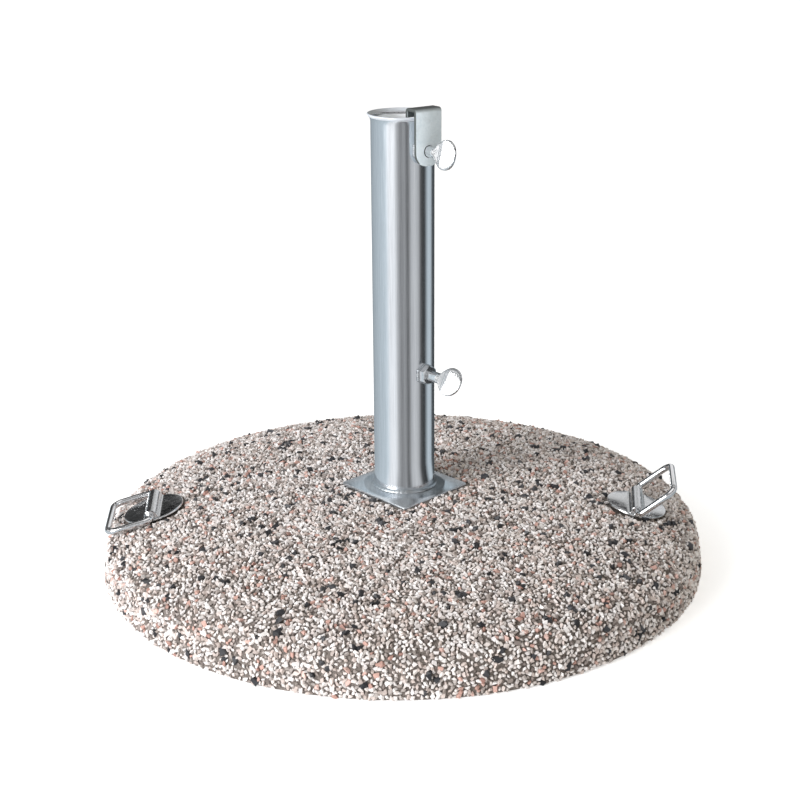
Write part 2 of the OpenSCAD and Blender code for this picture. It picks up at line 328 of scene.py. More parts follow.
brushedLook = {
    "stretch": (1, 1, 0.02),
    "grainScale": 900,
    "dark": (0.60, 0.61, 0.63),
    "light": (0.74, 0.75, 0.77),
    "stainScale": 14,
    "stains": 0.12,
    "stainColor": (0.50, 0.50, 0.52),
    "wear": 0.3,
    "wornColor": (0.85, 0.85, 0.86),
    "dust": 0.1,
    "roughLow": 0.13,
    "roughHigh": 0.24,
    "bump": 0.12,
    "bumpDepth": 0.0001,
}
satinLook = {
    **brushedLook,
    "stretch": (1, 0.1, 1),
    "grainScale": 500,
    "dark": (0.44, 0.48, 0.51),
    "light": (0.66, 0.70, 0.74),
    "stains": 0.35,
    "stainColor": (0.28, 0.29, 0.31),
    "dust": 0.2,
    "roughLow": 0.3,
    "roughHigh": 0.46,
    "bump": 0.2,
}
zincLook = {
    **brushedLook,
    "stretch": (1, 1, 1),
    "grainScale": 700,
    "dark": (0.62, 0.63, 0.64),
    "light": (0.82, 0.82, 0.82),
    "stainScale": 60,
    "stains": 0.18,
    "stainColor": (0.55, 0.56, 0.57),
    "wear": 0.7,
    "dust": 0.04,
    "roughLow": 0.09,
    "roughHigh": 0.2,
    "bump": 0.08,
    "bumpDepth": 0.0001,
}
weldLook = {
    **zincLook,
    "grainScale": 1100,
    "dark": (0.30, 0.32, 0.34),
    "light": (0.52, 0.55, 0.57),
    "stainScale": 90,
    "stains": 0.45,
    "stainColor": (0.30, 0.27, 0.24),
    "roughLow": 0.28,
    "roughHigh": 0.5,
    "bump": 0.25,
    "bumpDepth": 0.0002,
}
rodLook = {
    **weldLook,
    "dark": (0.08, 0.06, 0.05),
    "light": (0.20, 0.15, 0.12),
    "stains": 0.9,
    "stainColor": (0.24, 0.10, 0.04),
    "roughLow": 0.6,
    "roughHigh": 0.85,
    "wear": 0.1,
    "dust": 0,
}
chromeLook = {
    **zincLook,
    "dark": (0.78, 0.78, 0.79),
    "light": (0.88, 0.88, 0.89),
    "stains": 0.2,
    "stainColor": (0.60, 0.60, 0.62),
    "roughLow": 0.03,
    "roughHigh": 0.09,
    "dust": 0.1,
    "bump": 0.05,
}
# the bore's near-white colour is painted light, standing in for light the shaded inside of the tube does not
# get
mouthLook = {
    "height": 0.4465,
    "radius": 0.0284,
    "color": (0.94, 0.96, 0.98),
    "lipColor": (0.60, 0.63, 0.67),
    "roughness": 0.42,
    "metallic": 0.3,
}
brushedStainless = metalMaterial("brushedStainless", brushedLook, mouthLook)
satinStainless = metalMaterial("satinStainless", satinLook)
brightZinc = metalMaterial("brightZinc", zincLook)
weldSteel = metalMaterial("weldSteel", weldLook)
rustySteel = metalMaterial("rustySteel", rodLook)
polishedChrome = metalMaterial("polishedChrome", chromeLook)


# Hot-dip zinc: crystal spangle of slightly different greys
def galvanisedMaterial(name, look):
    material, tree, shader = newMaterial(name)
    plain = objectCoords(tree)
    grain = useGroup(tree, grainGroup, Vector=plain, Scale=650)
    shifted = vectorCalc(tree, "ADD", plain, (0.0006, 0.0006, 0.0006)).outputs[0]
    cells = addNode(tree, "ShaderNodeTexVoronoi", {"Vector": shifted, "Scale": look["spangle"]})
    crystal = addNode(tree, "ShaderNodeSeparateColor", {0: cells.outputs["Color"]})
    speckled = mixValue(tree, look["speckle"], crystal.outputs[0], grain)
    tone = ramp(tree, speckled, [(0.15, look["dark"]), (0.85, look["light"])])
    blotted = remap(tree, clouds(tree, plain, 120, 7, 0.7), 0.55, 0.72, 0, look["blots"])
    tone = mixColor(tree, blotted, tone, look["blotColor"])
    worn = useGroup(tree, edgeGroup, Vector=plain, Amount=0.7)
    tone = mixColor(tree, worn, tone, (0.85, 0.86, 0.88))
    dust = useGroup(tree, dustGroup, Vector=plain, Amount=look["dust"])
    tone = mixColor(tree, dust, tone, dustColor)
    # painted shade from a face attribute, darkest on the bracket's tongue, top and cut edges
    shadeAndBareEdge = addNode(tree, "ShaderNodeAttribute", attribute_name="shadeAndBareEdge")
    tone = mixColor(tree, shadeAndBareEdge.outputs["Fac"], tone, look["shadeAndBareEdgeColor"])
    tree.links.new(tone, shader.inputs["Base Color"])
    rough = remap(tree, speckled, 0.1, 0.9, look["roughLow"], look["roughHigh"])
    tree.links.new(rough, shader.inputs["Roughness"])
    tree.links.new(remap(tree, blotted, 0, 1, look["metallic"], 0.5), shader.inputs["Metallic"])
    addBump(tree, shader, speckled, look["bump"], 0.0002)
    return material


galvanisedLook = {
    "spangle": 420,
    "speckle": 0.55,
    "metallic": 0.5,
    "dark": (0.76, 0.85, 0.90),
    "light": (0.86, 0.94, 0.98),
    "blots": 0.3,
    "blotColor": (0.50, 0.53, 0.54),
    "shadeAndBareEdgeColor": (0.05, 0.055, 0.05),
    "roughLow": 0.4,
    "roughHigh": 0.58,
    "bump": 0.2,
    "dust": 0.15,
}
platedLook = {
    **galvanisedLook,
    "spangle": 260,
    "metallic": 1,
    "dark": (0.52, 0.53, 0.54),
    "light": (0.78, 0.79, 0.80),
    "blots": 0.35,
    "roughLow": 0.13,
    "roughHigh": 0.26,
    "bump": 0.15,
}
galvanisedSteel = galvanisedMaterial("galvanisedSteel", galvanisedLook)
platedSteel = galvanisedMaterial("platedSteel", platedLook)
print("metals made")


# Concrete weight
concrete = {
    "groundRadius": 302,
    "bellyRadius": 297,
    "bellyHeight": 33,
    "crownHeight": 75.5,
    "fullness": 2.6,
    "shoulder": 1.9,
    "footEdge": 3,
    "mortarDepth": 2.4,
    "mortarRoughness": 0.7,
    "mortarSteps": 360,
    "seatDepth": 1.75,
    "seatSteps": 480,
}
plateSize = {
    "width": 90,
    "thickness": 4,
    "top": 78,
    "corner": 3,
    "droopStart": 33,
    "droopSpan": 30,
    "wave": 0.5,
}
handles = {
    "right": {"azimuth": -7, "radius": 234, "ringAngle": 50},
    "left": {"azimuth": 184.5, "radius": 251, "ringAngle": -2},
}
handleDisc = 60


def domeHeight(r):
    rise = max(0, 1 - (r / concrete["bellyRadius"]) ** concrete["fullness"])
    span = concrete["crownHeight"] - concrete["bellyHeight"]
    return concrete["bellyHeight"] + span * rise ** (1 / concrete["shoulder"])


def domeFrame(azimuth, r):
    # +X down the fall line, +Z out of the dome
    fall = math.atan((domeHeight(r - 1) - domeHeight(r + 1)) / 2)
    turn = Matrix.Rotation(math.radians(azimuth), 4, "Z")
    return turn @ Matrix.Translation((r, 0, domeHeight(r) - 0.5)) @ Matrix.Rotation(fall, 4, "Y")


def weightSkin(depth, domeSteps, sideSteps, lowest):
    # (radius, height) of the skin, a depth below the cast surface, from the crown down
    skin = []
    for i in range(domeSteps + 1):
        r = concrete["bellyRadius"] * math.sin(math.pi / 2 * i / domeSteps)
        skin.append((r, domeHeight(r)))
    foot = concrete["footEdge"]
    for i in range(1, sideSteps + 1):
        t = i / sideSteps
        r = concrete["bellyRadius"] + (concrete["groundRadius"] - concrete["bellyRadius"]) * t
        skin.append((r, concrete["bellyHeight"] + (foot - concrete["bellyHeight"]) * t))
    skin += arc(concrete["groundRadius"] - foot, foot, foot, -15, -90, 5)
    inner = []
    for i, (r, z) in enumerate(skin):
        before = skin[max(i - 1, 0)]
        after = skin[min(i + 1, len(skin) - 1)]
        along = Vector((after[0] - before[0], after[1] - before[1])).normalized()
        r = max(0, r + along.y * depth)
        z = z - along.x * depth
        if z >= lowest:
            inner.append((r, z))
    return inner


def turnedFaces(steps, count):
    # quads between the turned copies of a skin with this many points
    faces = []
    for i in range(steps):
        a = i * count
        b = (i + 1) % steps * count
        for j in range(count - 1):
            faces.append((a + j, a + j + 1, b + j + 1, b + j))
    return faces


skin = weightSkin(concrete["mortarDepth"], 120, 14, 0.4)
skin.append((concrete["groundRadius"] - 4, 0))
steps = concrete["mortarSteps"]
mortarPoints = []
for i in range(steps):
    a = 2 * math.pi * i / steps
    for r, z in skin:
        spot = Vector((r * math.cos(a), r * math.sin(a), z))
        if 0 < z:
            lump = noise.noise(spot / 4.5) * 0.5 + noise.noise(spot / 14) * 0.5
            spot += Vector((math.cos(a), math.sin(a), 1)).normalized() * lump * concrete["mortarRoughness"]
        mortarPoints.append(spot)
count = len(skin)
mortarPoints[::count] = [Vector((0, 0, skin[0][1]))] * steps
underside = tuple(i * count + count - 1 for i in range(steps))
mortar = addObject("mortar", mortarPoints, turnedFaces(steps, count) + [underside])


mortarLook = {
    "dark": (0.075, 0.062, 0.054),
    "middle": (0.17, 0.145, 0.13),
    "light": (0.31, 0.27, 0.245),
    "sand": 1500,
    "dampColor": (0.13, 0.105, 0.085),
}


def mortarMaterial(look):
    material, tree, shader = newMaterial("mortar")
    plain = objectCoords(tree)
    grain = useGroup(tree, grainGroup, Vector=plain, Scale=look["sand"] / 4)
    sand = addNode(tree, "ShaderNodeTexVoronoi", {"Vector": plain, "Scale": look["sand"]})
    grit = addNode(tree, "ShaderNodeSeparateColor", {0: sand.outputs["Color"]})
    blend = mixValue(tree, 0.45, grain, grit.outputs[0])
    tone = ramp(tree, blend, [(0.2, look["dark"]), (0.85, look["light"]), (0.5, look["middle"])])
    damp = remap(tree, clouds(tree, plain, 9, 5), 0.4, 0.7, 0, 0.35)
    tone = mixColor(tree, damp, tone, look["dampColor"])
    tree.links.new(tone, shader.inputs["Base Color"])
    tree.links.new(remap(tree, blend, 0.2, 0.8, 0.95, 0.75), shader.inputs["Roughness"])
    addBump(tree, shader, blend, 0.7, 0.0006)
    return material


finishPiece(
    mortar, "weight_mortar", mortarMaterial(mortarLook),
    node="concrete_weight", sharpAngle=60,
)
print("mortar made")

# Surface that the stones are set on, with a cover value that keeps them off the plates
seat = weightSkin(concrete["seatDepth"], 170, 12, 1.8)
steps = concrete["seatSteps"]
seatPoints = []
for i in range(steps):
    a = 2 * math.pi * i / steps
    seatPoints += [(r * math.cos(a), r * math.sin(a), z) for r, z in seat]
seatFaces = turnedFaces(steps, len(seat))
seatObject = addObject("seat", seatPoints, seatFaces)
handleFrames = {side: domeFrame(h["azimuth"], h["radius"]) for side, h in handles.items()}
discInverses = [handleFrames[side].inverted() for side in handles]
cover = seatObject.data.attributes.new("cover", "FLOAT", "POINT")
for i, vertex in enumerate(seatObject.data.vertices):
    x = vertex.co.x
    y = vertex.co.y
    bent = max(-y, x) > 42
    clear = (abs(x) + abs(y)) / math.sqrt(2) > plateSize["width"] / 2 + (3.6 if bent else 2.2)
    for inverse in discInverses:
        local = inverse @ vertex.co
        clear = clear and math.hypot(local.x, local.y) > handleDisc / 2 + 2
    cover.data[i].value = 1 if clear else 0
seatObject.data.transform(Matrix.Scale(0.001, 4))
middleFace = seatObject.data.polygons[len(seatFaces) // 2]
if middleFace.normal.dot(middleFace.center) < 0:
    seatObject.data.flip_normals()

stones = {
    "spacing": 0.003,
    "smallest": 0.0022,
    "largest": 0.0042,
    "tilt": 0.75,
    "narrowness": 0.68,
    "flatness": 0.7,
    "shapes": 16,
    "corners": 8,
    "density": 260000,
    "lowest": 0.0002,
    "reach": 0.3019,
    "seed": 7,
}


def stoneShapes(prefix, corners, seed):
    picker = random.Random(seed)
    shapes = bpy.data.collections.new(prefix)
    scene.collection.children.link(shapes)
    for i in range(stones["shapes"]):
        work = bmesh.new()
        for j in range(corners):
            # spread corners over a ball, then flatten and jitter them
            z = 1 - 2 * (j + 0.5) / corners
            a = j * 2.4 + picker.uniform(-0.5, 0.5)
            r = math.sqrt(1 - z * z)
            stretch = picker.uniform(0.66, 1.2)
            y = stones["narrowness"] * r * math.sin(a) * stretch
            work.verts.new((r * math.cos(a) * stretch, y, stones["flatness"] * z * stretch))
        bmesh.ops.convex_hull(work, input=work.verts)
        loose = [v for v in work.verts if not v.link_faces]
        bmesh.ops.delete(work, geom=loose, context="VERTS")
        bmesh.ops.recalc_face_normals(work, faces=work.faces)
        mesh = bpy.data.meshes.new(f"{prefix}{i}")
        work.to_mesh(mesh)
        work.free()
        lift = mesh.attributes.new("lift", "FLOAT", "POINT")
        for vertex in mesh.vertices:
            lift.data[vertex.index].value = 0.5 + 0.5 * vertex.co.z / stones["flatness"]
        shapes.objects.link(bpy.data.objects.new(f"{prefix}{i}", mesh))
    return shapes


stoneShapeSet = stoneShapes("stoneShape", stones["corners"], 3)


def scatterTree():
    tree = bpy.data.node_groups.new("stoneScatter", "GeometryNodeTree")
    sockets = {}
    for label, kind in (
        ("Geometry", "NodeSocketGeometry"),
        ("Shapes", "NodeSocketCollection"),
        ("Spacing", "NodeSocketFloat"),
        ("Smallest", "NodeSocketFloat"),
        ("Largest", "NodeSocketFloat"),
        ("Tilt", "NodeSocketFloat"),
        ("Kind From", "NodeSocketFloat"),
        ("Kind To", "NodeSocketFloat"),
        ("Seed", "NodeSocketInt"),
        ("Material", "NodeSocketMaterial"),
    ):
        sockets[label] = tree.interface.new_socket(name=label, in_out="INPUT", socket_type=kind)
    tree.interface.new_socket(name="Geometry", in_out="OUTPUT", socket_type="NodeSocketGeometry")
    source = tree.nodes.new("NodeGroupInput").outputs
    result = tree.nodes.new("NodeGroupOutput")

    def randomValue(kind, low, high, seedStep):
        node = addNode(tree, "FunctionNodeRandomValue", data_type=kind)
        tree.links.new(calc(tree, "ADD", source["Seed"], seedStep), node.inputs["Seed"])
        ends = [s for s in node.inputs if s.enabled and s.name in ("Min", "Max")]
        for socket, value in zip(ends, (low, high)):
            if isinstance(value, bpy.types.NodeSocket):
                tree.links.new(value, socket)
            else:
                socket.default_value = value
        return [s for s in node.outputs if s.enabled][0]

    cover = addNode(tree, "GeometryNodeInputNamedAttribute", {"Name": "cover"}, data_type="FLOAT")
    points = addNode(
        tree,
        "GeometryNodeDistributePointsOnFaces",
        {
            "Mesh": source["Geometry"],
            "Distance Min": source["Spacing"],
            "Density Max": stones["density"],
            "Density Factor": cover.outputs["Attribute"],
            "Seed": source["Seed"],
        },
        distribute_method="POISSON",
    )
    kind = randomValue("FLOAT", 0, 1, 1)
    above = addNode(tree, "FunctionNodeCompare", {0: kind, 1: source["Kind From"]}, operation="GREATER_EQUAL")
    below = addNode(tree, "FunctionNodeCompare", {0: kind, 1: source["Kind To"]}, operation="LESS_THAN")
    chosen = addNode(tree, "FunctionNodeBooleanMath", {0: above.outputs[0], 1: below.outputs[0]})
    shapes = addNode(
        tree,
        "GeometryNodeCollectionInfo",
        {"Collection": source["Shapes"], "Separate Children": True, "Reset Children": True},
    )
    leanOut = addNode(tree, "ShaderNodeCombineXYZ", {0: source["Tilt"], 1: source["Tilt"], 2: math.pi})
    leanIn = vectorCalc(tree, "MULTIPLY", leanOut.outputs[0], (-1, -1, -1))
    lean = randomValue("FLOAT_VECTOR", leanIn.outputs[0], leanOut.outputs[0], 2)
    euler = addNode(tree, "FunctionNodeEulerToRotation", {0: lean})
    turned = addNode(
        tree,
        "FunctionNodeRotateRotation",
        {0: points.outputs["Rotation"], 1: euler.outputs[0]},
        rotation_space="LOCAL",
    )
    size = randomValue("FLOAT", source["Smallest"], source["Largest"], 3)
    placed = addNode(
        tree,
        "GeometryNodeInstanceOnPoints",
        {
            "Points": points.outputs["Points"],
            "Selection": chosen.outputs[0],
            "Instance": shapes.outputs[0],
            "Pick Instance": True,
            "Instance Index": randomValue("INT", 0, stones["shapes"] - 1, 4),
            "Rotation": turned.outputs[0],
            "Scale": size,
        },
    )
    toned = addNode(
        tree,
        "GeometryNodeStoreNamedAttribute",
        {"Geometry": placed.outputs[0], "Name": "tone", "Value": randomValue("FLOAT", 0, 1, 5)},
        data_type="FLOAT",
        domain="INSTANCE",
    )
    real = addNode(tree, "GeometryNodeRealizeInstances", {"Geometry": toned.outputs[0]})
    painted = addNode(
        tree, "GeometryNodeSetMaterial", {"Geometry": real.outputs[0], "Material": source["Material"]}
    )
    tree.links.new(painted.outputs[0], result.inputs[0])
    return tree, sockets


stoneTree, stoneSockets = scatterTree()


def stoneMaterial(name, look):
    material, tree, shader = newMaterial(name)
    plain = objectCoords(tree)
    tone = addNode(tree, "ShaderNodeAttribute", attribute_name="tone")
    lift = addNode(tree, "ShaderNodeAttribute", attribute_name="lift")
    stops = [(0, look["dark"]), (1, look["light"]), (0.45, look["middle"])]
    color = ramp(tree, tone.outputs["Fac"], stops)
    grain = useGroup(tree, grainGroup, Vector=plain, Scale=look["grainScale"])
    color = mixColor(tree, remap(tree, grain, 0.5, 0.72, 0, look["flecks"]), color, look["fleckColor"])
    # cement film and painted shade low down between the stones
    low = remap(tree, lift.outputs["Fac"], 0.3, 0.5, 1, 0)
    color = mixColor(tree, calc(tree, "MULTIPLY", low, look["filmAndShade"]), color, look["filmAndShadeColor"])
    dust = useGroup(tree, dustGroup, Vector=plain, Amount=look["dust"])
    color = mixColor(tree, dust, color, look["dustColor"])
    tree.links.new(color, shader.inputs["Base Color"])
    rough = remap(tree, grain, 0.3, 0.7, look["roughLow"], look["roughHigh"])
    tree.links.new(rough, shader.inputs["Roughness"])
    addBump(tree, shader, grain, look["bump"], 0.0004)
    return material


paleLook = {
    "share": 0.35,
    "size": 1,
    "dark": (0.64, 0.60, 0.59),
    "middle": (0.73, 0.695, 0.685),
    "light": (0.81, 0.785, 0.775),
    "grainScale": 420,
    "flecks": 0.3,
    "fleckColor": (0.52, 0.44, 0.40),
    "filmAndShade": 0.75,
    "filmAndShadeColor": (0.09, 0.07, 0.06),
    "dust": 0.1,
    "dustColor": (0.55, 0.50, 0.45),
    "roughLow": 0.45,
    "roughHigh": 0.75,
    "bump": 0.5,
}
stoneKinds = {
    "pale_stones": paleLook,
    "cream_stones": {
        **paleLook,
        "share": 0.25,
        "dark": (0.54, 0.485, 0.46),
        "middle": (0.67, 0.615, 0.59),
        "light": (0.78, 0.73, 0.705),
    },
    "beige_stones": {
        **paleLook,
        "share": 0.20,
        "dark": (0.38, 0.32, 0.295),
        "middle": (0.53, 0.45, 0.415),
        "light": (0.67, 0.585, 0.55),
    },
    "brown_stones": {
        **paleLook,
        "share": 0.125,
        "dark": (0.14, 0.11, 0.10),
        "middle": (0.27, 0.23, 0.21),
        "light": (0.42, 0.38, 0.36),
        "fleckColor": (0.42, 0.38, 0.35),
    },
    "black_stones": {
        **paleLook,
        "share": 0.026,
        "size": 1.6,
        "dark": (0.010, 0.010, 0.012),
        "middle": (0.022, 0.022, 0.026),
        "light": (0.055, 0.055, 0.06),
        "fleckColor": (0.16, 0.15, 0.15),
        "flecks": 0.15,
        "filmAndShade": 0.3,
        "dust": 0,
        "roughLow": 0.4,
    },
    "red_stones": {
        **paleLook,
        "share": 0.049,
        "size": 1.15,
        "dark": (0.32, 0.17, 0.14),
        "middle": (0.50, 0.30, 0.25),
        "light": (0.66, 0.46, 0.41),
    },
}


def scatterStones(name, shapes, material, values):
    piece = bpy.data.objects.new(name, seatObject.data.copy())
    scene.collection.objects.link(piece)
    modifier = piece.modifiers.new("stones", "NODES")
    modifier.node_group = stoneTree
    values = {**values, "Shapes": shapes, "Material": material}
    for label, value in values.items():
        modifier[stoneSockets[label].identifier] = value
    bake(piece)
    mesh = piece.data
    # nothing below the ground or outside the cast outline
    spots = np.zeros(len(mesh.vertices) * 3)
    mesh.vertices.foreach_get("co", spots)
    spots = spots.reshape(-1, 3)
    spots[:, 2] = np.maximum(spots[:, 2], stones["lowest"])
    reach = np.hypot(spots[:, 0], spots[:, 1])
    limit = np.minimum(1, stones["reach"] / np.maximum(reach, 0.001))
    spots[:, 0] *= limit
    spots[:, 1] *= limit
    mesh.vertices.foreach_set("co", spots.ravel())
    mesh.shade_flat()
    mesh.update()
    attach(piece, "root")
    return piece


kindFrom = 0
for name, look in stoneKinds.items():
    values = {
        "Spacing": stones["spacing"],
        "Smallest": stones["smallest"] * look["size"],
        "Largest": stones["largest"] * look["size"],
        "Tilt": stones["tilt"],
        "Kind From": kindFrom,
        "Kind To": kindFrom + look["share"],
        "Seed": stones["seed"],
    }
    piece = scatterStones(name, stoneShapeSet, stoneMaterial(name, look), values)
    kindFrom += look["share"]
    print(name, len(piece.data.polygons), "faces")
for shape in list(stoneShapeSet.objects):
    bpy.data.objects.remove(shape)
bpy.data.objects.remove(seatObject)
bpy.data.collections.remove(stoneShapeSet)
print("stones scattered")

# Cast-in rods keep the frame's shapes
castIn = ["reinforcement_hoop", "reinforcement_bars"]
castIn += ["foot_anchors", "left_handle_anchors", "right_handle_anchors"]
for name in castIn:
    rodMesh = frame["nodes"][name].data
    rodMesh.materials.clear()
    rodMesh.materials.append(rustySteel)

# Foot plate with rolled edges, its corners bent down a little
plateRings = []
half = plateSize["width"] / 2
top = plateSize["top"]
low = top - plateSize["thickness"]
insets = [(inset, low) for inset in (30, 18, 8, 0.9)]
insets += [(0.25, low + 0.3), (0, low + 1), (0, top - 1), (0.3, top - 0.3)]
insets += [(inset, top) for inset in (1.1, 4, 8, 13, 18, 24, 30)]
# directions across the corners, with how far each one bends
droops = [((0, -1), 3.1), ((1, 0), 2.8), ((-1, 0), 0.4), ((0, 1), 1.2)]
for inset, z in insets:
    corner = max(1, plateSize["corner"] - inset * 0.5)
    side = half - inset - corner
    ring = []
    for x, y, start in ((side, side, 0), (-side, side, 90), (-side, -side, 180), (side, -side, 270)):
        for px, py in arc(x, y, corner, start, start + 90, 6):
            spot = Matrix.Rotation(math.radians(45), 3, "Z") @ Vector((px, py, z))
            for direction, amount in droops:
                reach = spot.x * direction[0] + spot.y * direction[1]
                spot.z -= amount * max(0, (reach - plateSize["droopStart"]) / plateSize["droopSpan"]) ** 1.7
            if z == top:
                spot.z += plateSize["wave"] * noise.noise(Vector((px, py, 0)) / 19)
            ring.append(spot)
    plateRings.append(ring)
plate = addObject("plate", *loft(plateRings))
finishPiece(plate, "stand_foot_plate", satinStainless, node="foot_plate")

# Stand tube
tubeSize = {
    "radius": 30.15,
    "wall": 2,
    "rim": 449,
    "flareRadius": 8,
    "flareAngle": 52,
    "screwHole": 5.6,
    "drainHole": 2.5,
    "drainAzimuth": -15,
    "drainHeight": 85,
}
screws = {
    "lower": {"azimuth": -47, "height": 199.5, "thread": 17, "turn": -30},
    "upper": {"azimuth": -53, "height": 418.5, "thread": 9.5, "turn": -12},
}


def outwardFrame(azimuth, height):
    # +Z outwards from the tube's axis, +X down
    turn = Matrix.Rotation(math.radians(azimuth), 4, "Z")
    return Matrix.Translation((0, 0, height)) @ turn @ Matrix.Rotation(math.pi / 2, 4, "Y")


screwFrames = {side: outwardFrame(screw["azimuth"], screw["height"]) for side, screw in screws.items()}
outerR = tubeSize["radius"]
innerR = outerR - tubeSize["wall"]
flare = tubeSize["flareRadius"]
flareBase = tubeSize["rim"] - (flare + tubeSize["wall"]) * math.sin(math.radians(tubeSize["flareAngle"]))
levels = [78.2, 81, 84, 87, 90, 95, 120, 160, 186, 192, 198, 204, 210, 250, 300, 350, 400]
levels += [406, 411, 416, 421, 426, 433]
outside = [(outerR, z) for z in levels]
outside += arc(outerR + flare, flareBase, flare, 180, 180 - tubeSize["flareAngle"], 12)
inside = arc(outerR + flare, flareBase, flare + tubeSize["wall"], 180 - tubeSize["flareAngle"], 180, 12)
# half-round lip between the two faces of the wall
lipStart = Vector(outside[-1])
lipEnd = Vector(inside[0])
lipMiddle = (lipStart + lipEnd) / 2
lipAngle = math.degrees(math.atan2(*(lipStart - lipMiddle).yx))
lip = arc(lipMiddle.x, lipMiddle.y, (lipStart - lipMiddle).length * 0.98, lipAngle, lipAngle + 180, 8)
inside += [(innerR, z) for z in reversed(levels)]
tube = addObject("tube", *spin(outside + lip[1:-1] + inside, 144))
for place in screwFrames.values():
    combine(tube, rod(tubeSize["screwHole"], 12, place, innerR - 5), "DIFFERENCE")
drainFrame = outwardFrame(tubeSize["drainAzimuth"], tubeSize["drainHeight"])
combine(tube, rod(tubeSize["drainHole"], 12, drainFrame, innerR - 5), "DIFFERENCE")
finishPiece(tube, "stand_tube_skin", brushedStainless, node="stand_tube", sharpAngle=40)

# Fillet weld round the foot, laid in overlapping ripples
weldBead = {"leg": 2.7, "seat": 77.9, "steps": 372, "ripples": 44, "rippleDepth": 0.09}
beadRings = []
for i in range(weldBead["steps"]):
    a = 2 * math.pi * i / weldBead["steps"]
    phase = i * weldBead["ripples"] / weldBead["steps"] % 1
    wobble = noise.noise(Vector((math.cos(a) * 3, math.sin(a) * 3, 0))) * 0.3
    leg = weldBead["leg"] + wobble - weldBead["rippleDepth"] * (1 - math.sin(phase * math.pi)) * 2
    ring = []
    for x, y in ((0, 0), (1, 0), (0.93, 0.24), (0.76, 0.5), (0.5, 0.76), (0.24, 0.93), (0, 1)):
        r = outerR - 0.1 + x * leg
        ring.append((r * math.cos(a), r * math.sin(a), weldBead["seat"] + y * leg))
    beadRings.append(ring)
bead = addObject("bead", *loft(beadRings, closed=True))
finishPiece(bead, "foot_weld_bead", weldSteel, node="foot_weld", sharpAngle=50)

# Weld nuts: hexagons with the chamfer that turning leaves on the corners
nutSize = {"flats": 17, "inner": 30.55, "outer": 37.2, "bore": 4.95, "chamferSteps": 8, "chamferStep": 0.2}


def hexRadius(angle, flats):
    return flats / 2 / math.cos((angle + math.pi / 6) % (math.pi / 3) - math.pi / 6)


def weldNut(place):
    rings = []
    depth = nutSize["outer"] - nutSize["inner"]
    steps = nutSize["chamferSteps"]
    shoulder = depth - steps * nutSize["chamferStep"]
    outline = [(0, False), (shoulder, False)]
    outline += [(shoulder + nutSize["chamferStep"] * i, True) for i in range(1, steps + 1)]
    for z, chamfered in outline:
        ring = []
        for i in range(96):
            a = 2 * math.pi * i / 96
            r = hexRadius(a + math.pi / 6, nutSize["flats"])
            if chamfered:
                r = min(r, nutSize["flats"] / 2 - 0.25 + (depth - z) * 1.732)
            ring.append((r * math.cos(a), r * math.sin(a), nutSize["inner"] + z))
        rings.append(ring)
    for r, z in ((nutSize["bore"] + 0.7, depth), (nutSize["bore"], depth - 0.7), (nutSize["bore"], 0)):
        rings.append([(x, y, nutSize["inner"] + z) for x, y in arc(0, 0, r, 0, 356.25, 95)])
    return addObject("nut", *loft(rings, closed=True), place)


for side, place in screwFrames.items():
    nut = weldNut(place)
    finishPiece(nut, f"{side}_nut", brightZinc, node=f"{side}_weld_nut", sharpAngle=28)

# Weld beads that seat the flat nuts on the round tube
seamSize = {"thickness": 1.15, "fill": 0.42, "ripple": 0.16, "lumps": 0.2}
seamPoints = []
seamFaces = []
for place in screwFrames.values():
    rings = []
    for i in range(160):
        a = 2 * math.pi * i / 160
        reach = hexRadius(a + math.pi / 6, nutSize["flats"]) - 0.2
        down = reach * math.cos(a)
        across = reach * math.sin(a)
        gap = nutSize["inner"] - math.sqrt(outerR ** 2 - across ** 2)
        ripple = seamSize["ripple"] * math.sin(i * 1.4)
        ripple += seamSize["lumps"] * noise.noise(Vector((down, across, place[2][3])) / 3)
        size = seamSize["thickness"] + gap * seamSize["fill"] + ripple
        centre = Vector((down, across, nutSize["inner"] - gap / 2 - 0.1))
        outward = Vector((math.cos(a), math.sin(a), 0))
        ring = []
        for x, y in arc(0, 0, size, 0, 330, 11):
            ring.append(centre + outward * x + Vector((0, 0, y * 0.9)))
        rings.append(ring)
    points, faces = loft(rings, closed=True)
    offset = len(seamPoints)
    seamPoints += [place @ p for p in points]
    seamFaces += [tuple(i + offset for i in f) for f in faces]
seams = addObject("seams", seamPoints, seamFaces)
finishPiece(seams, "nut_weld_beads", weldSteel, node="nut_welds", sharpAngle=60)
print("stand made")

# Thumb screws: rolled thread, round neck, forged spade
screwSize = {
    "thread": 4.9,
    "pitch": 1.5,
    "threadDepth": 0.8,
    "neckSeat": 37.5,
    "neckLength": 11,
    "neckRadius": 5.25,
    "spadeRadius": 14,
    "spadeThickness": 4,
    "spadeCentre": 65,
    "blend": 9,
    "gripPitch": 1.9,
    "gripDepth": 0.2,
    "gripStart": 54.5,
}


def threadedStud(length, place):
    start = screwSize["neckSeat"] - length
    rings = []
    steps = int(length / screwSize["pitch"] * 9)
    for i in range(steps + 1):
        along = length * i / steps
        tip = max(0, 1.5 - along)
        ring = []
        for j in range(40):
            a = 2 * math.pi * j / 40
            turn = (along / screwSize["pitch"] - j / 40) % 1
            groove = screwSize["threadDepth"] * max(0, 1 - abs(turn - 0.5) * 2.6)
            r = screwSize["thread"] - tip - groove * (1 - 0.5 * tip)
            ring.append((r * math.cos(a), r * math.sin(a), start + along))
        rings.append(ring)
    return addObject("stud", *loft(rings), place)


